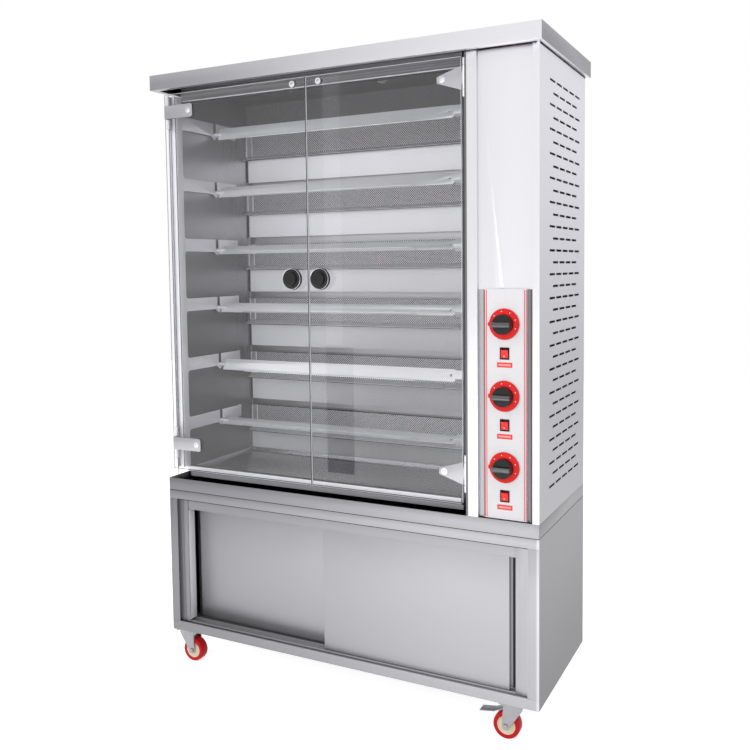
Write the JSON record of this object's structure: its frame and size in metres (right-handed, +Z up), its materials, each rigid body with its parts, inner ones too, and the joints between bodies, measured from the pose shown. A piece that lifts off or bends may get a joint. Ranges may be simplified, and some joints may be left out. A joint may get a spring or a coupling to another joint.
{
  "type": "gas chicken rotisserie",
  "caption": "Free-standing gas rotisserie with rows of strip spits before wall burners behind two glass doors, a control column, a drip tray and a castored cupboard base.",
  "frame": {"origin": "middle of the footprint on the floor, at the centre of the bounding box seen from above", "axes": "+X to the right seen from the front, +Y to the back, +Z up"},
  "size_m": [1.226, 0.518, 1.8485],
  "materials": {
    "brushed_stainless": "brushed stainless sheet, fine grain",
    "bright_stainless": "bright annealed stainless sheet",
    "dark_liner": "dull heat-greyed stainless liner",
    "spit_steel": "bent stainless strip",
    "burner_iron": "matt heat-resistant coating",
    "burner_mesh": "fine woven heat-resistant mesh",
    "panel_white": "smooth light grey-white face",
    "chrome_trim": "polished rings and black switch housings",
    "knob_red": "red skirt with a dark grey grip",
    "switch_red": "translucent red rocker",
    "black_plastic": "satin black moulding",
    "door_glass": "clear toughened glass",
    "lamp_glass": "frosted lamp dome in a steel ring",
    "hinge_steel": "satin stainless",
    "brass_fittings": "turned brass and copper pipe",
    "motor_grey": "grey enamel",
    "chain_steel": "oiled steel",
    "bearing_bronze": "sintered bronze",
    "zinc_plate": "bright zinc plate",
    "tyre_red": "red tyre on a cream wheel centre"
  },
  "bodies": {
    "cabinet": {"base_panels": "brushed_stainless", "base_decks": "brushed_stainless", "base_front_frame": "brushed_stainless", "door_tracks": "brushed_stainless", "plinth_frame": "brushed_stainless", "side_panel_left": "brushed_stainless", "side_panel_right": "brushed_stainless", "back_panel": "brushed_stainless", "roof_cap": "brushed_stainless", "header_rail": "brushed_stainless", "column_front": "brushed_stainless", "chamber_wall_left": "dark_liner", "chamber_wall_right": "dark_liner", "chamber_ceiling": "dark_liner", "chamber_floor": "bright_stainless", "reflector_panels": "bright_stainless", "spit_rack": "bright_stainless", "burner_rims": "bright_stainless", "burner_bodies": "burner_iron", "burner_meshes": "burner_mesh", "control_panel": "panel_white", "panel_fittings": "chrome_trim", "gas_train": "brass_fittings", "gear_motors": "motor_grey", "drive_chains": "chain_steel", "spindle_bearings": "bearing_bronze", "oven_lamps": "lamp_glass", "hinge_leaves": "hinge_steel", "castor_plates": "zinc_plate"},
    "door_left": {"door_left_glass": "door_glass", "door_left_fittings": "hinge_steel", "door_left_knob": "black_plastic"},
    "door_right": {"door_right_glass": "door_glass", "door_right_fittings": "hinge_steel", "door_right_knob": "black_plastic"},
    "base_door_left": {"base_door_left": "brushed_stainless"},
    "base_door_right": {"base_door_right": "brushed_stainless"},
    "drip_tray": {"drip_tray": "bright_stainless"},
    "knob_1": {"knob_1": "knob_red"},
    "switch_1": {"switch_1": "switch_red"},
    "knob_2": {"knob_2": "knob_red"},
    "switch_2": {"switch_2": "switch_red"},
    "knob_3": {"knob_3": "knob_red"},
    "switch_3": {"switch_3": "switch_red"},
    "spit_1": {"spit_1": "spit_steel"},
    "spit_2": {"spit_2": "spit_steel"},
    "spit_3": {"spit_3": "spit_steel"},
    "spit_4": {"spit_4": "spit_steel"},
    "spit_5": {"spit_5": "spit_steel"},
    "spit_6": {"spit_6": "spit_steel"},
    "swivel_front_left": {"castor_fork_front_left": "zinc_plate"},
    "wheel_front_left": {"castor_wheel_front_left": "tyre_red"},
    "swivel_front_right": {"castor_fork_front_right": "zinc_plate"},
    "wheel_front_right": {"castor_wheel_front_right": "tyre_red"},
    "swivel_rear_left": {"castor_fork_rear_left": "zinc_plate"},
    "wheel_rear_left": {"castor_wheel_rear_left": "tyre_red"},
    "swivel_rear_right": {"castor_fork_rear_right": "zinc_plate"},
    "wheel_rear_right": {"castor_wheel_rear_right": "tyre_red"},
    "brake_front_right": {"castor_brake_front_right": "zinc_plate"},
    "brake_rear_right": {"castor_brake_rear_right": "zinc_plate"}
  },
  "joints": [
    {"name": "door_left_swing", "type": "hinge", "parent": "cabinet", "child": "door_left", "pos_m": [-0.594, -0.187, 1.225], "axis": [0, 0, -1], "range_deg": [0, 110]},
    {"name": "door_right_swing", "type": "hinge", "parent": "cabinet", "child": "door_right", "pos_m": [0.397, -0.203, 1.225], "axis": [0, 0, 1], "range_deg": [0, 95]},
    {"name": "base_door_left_slide", "type": "slide", "parent": "cabinet", "child": "base_door_left", "axis": [1, 0, 0], "range_m": [0, 0.49]},
    {"name": "base_door_right_slide", "type": "slide", "parent": "cabinet", "child": "base_door_right", "axis": [-1, 0, 0], "range_m": [0, 0.49]},
    {"name": "drip_tray_slide", "type": "slide", "parent": "cabinet", "child": "drip_tray", "axis": [0, -1, 0], "range_m": [0, 0.32]},
    {"name": "knob_1_turn", "type": "hinge", "parent": "cabinet", "child": "knob_1", "pos_m": [0.508, -0.233, 0.7387], "axis": [0, -1, 0], "range_deg": [0, 210]},
    {"name": "switch_1_rock", "type": "hinge", "parent": "cabinet", "child": "switch_1", "pos_m": [0.508, -0.213, 0.6633], "axis": [-1, 0, 0], "range_deg": [0, 16]},
    {"name": "knob_2_turn", "type": "hinge", "parent": "cabinet", "child": "knob_2", "pos_m": [0.508, -0.233, 0.9237], "axis": [0, -1, 0], "range_deg": [0, 210]},
    {"name": "switch_2_rock", "type": "hinge", "parent": "cabinet", "child": "switch_2", "pos_m": [0.508, -0.213, 0.8483], "axis": [-1, 0, 0], "range_deg": [0, 16]},
    {"name": "knob_3_turn", "type": "hinge", "parent": "cabinet", "child": "knob_3", "pos_m": [0.508, -0.233, 1.1087], "axis": [0, -1, 0], "range_deg": [0, 210]},
    {"name": "switch_3_rock", "type": "hinge", "parent": "cabinet", "child": "switch_3", "pos_m": [0.508, -0.213, 1.0333], "axis": [-1, 0, 0], "range_deg": [0, 16]},
    {"name": "spit_1_turn", "type": "hinge", "parent": "cabinet", "child": "spit_1", "pos_m": [0, 0.027, 0.745], "axis": [1, 0, 0], "continuous": true},
    {"name": "spit_2_turn", "type": "hinge", "parent": "cabinet", "child": "spit_2", "pos_m": [0, 0.027, 0.9365], "axis": [1, 0, 0], "continuous": true},
    {"name": "spit_3_turn", "type": "hinge", "parent": "cabinet", "child": "spit_3", "pos_m": [0, 0.027, 1.128], "axis": [1, 0, 0], "continuous": true},
    {"name": "spit_4_turn", "type": "hinge", "parent": "cabinet", "child": "spit_4", "pos_m": [0, 0.027, 1.3195], "axis": [1, 0, 0], "continuous": true},
    {"name": "spit_5_turn", "type": "hinge", "parent": "cabinet", "child": "spit_5", "pos_m": [0, 0.027, 1.511], "axis": [1, 0, 0], "continuous": true},
    {"name": "spit_6_turn", "type": "hinge", "parent": "cabinet", "child": "spit_6", "pos_m": [0, 0.027, 1.7025], "axis": [1, 0, 0], "continuous": true},
    {"name": "swivel_front_left_turn", "type": "hinge", "parent": "cabinet", "child": "swivel_front_left", "pos_m": [-0.566, -0.18, 0.1], "axis": [0, 0, 1], "continuous": true},
    {"name": "wheel_front_left_roll", "type": "hinge", "parent": "swivel_front_left", "child": "wheel_front_left", "pos_m": [-0.546, -0.18, 0.037], "axis": [0, 1, 0], "continuous": true},
    {"name": "swivel_front_right_turn", "type": "hinge", "parent": "cabinet", "child": "swivel_front_right", "pos_m": [0.522, -0.18, 0.1], "axis": [0, 0, 1], "continuous": true},
    {"name": "wheel_front_right_roll", "type": "hinge", "parent": "swivel_front_right", "child": "wheel_front_right", "pos_m": [0.502, -0.18, 0.037], "axis": [0, 1, 0], "continuous": true},
    {"name": "swivel_rear_left_turn", "type": "hinge", "parent": "cabinet", "child": "swivel_rear_left", "pos_m": [-0.566, 0.2, 0.1], "axis": [0, 0, 1], "continuous": true},
    {"name": "wheel_rear_left_roll", "type": "hinge", "parent": "swivel_rear_left", "child": "wheel_rear_left", "pos_m": [-0.546, 0.2, 0.037], "axis": [0, 1, 0], "continuous": true},
    {"name": "swivel_rear_right_turn", "type": "hinge", "parent": "cabinet", "child": "swivel_rear_right", "pos_m": [0.522, 0.2, 0.1], "axis": [0, 0, 1], "continuous": true},
    {"name": "wheel_rear_right_roll", "type": "hinge", "parent": "swivel_rear_right", "child": "wheel_rear_right", "pos_m": [0.502, 0.2, 0.037], "axis": [0, 1, 0], "continuous": true},
    {"name": "brake_front_right_press", "type": "hinge", "parent": "swivel_front_right", "child": "brake_front_right", "pos_m": [0.504, -0.18, 0.0857], "axis": [0, -1, 0], "range_deg": [0, 10], "stiffness_Nm_per_rad": 2},
    {"name": "brake_rear_right_press", "type": "hinge", "parent": "swivel_rear_right", "child": "brake_rear_right", "pos_m": [0.504, 0.2, 0.0857], "axis": [0, -1, 0], "range_deg": [0, 10], "stiffness_Nm_per_rad": 2}
  ],
  "couplings": [
    {"joint": "spit_2_turn", "follows": "spit_1_turn", "ratio": 1},
    {"joint": "spit_4_turn", "follows": "spit_3_turn", "ratio": 1},
    {"joint": "spit_6_turn", "follows": "spit_5_turn", "ratio": 1}
  ]
}
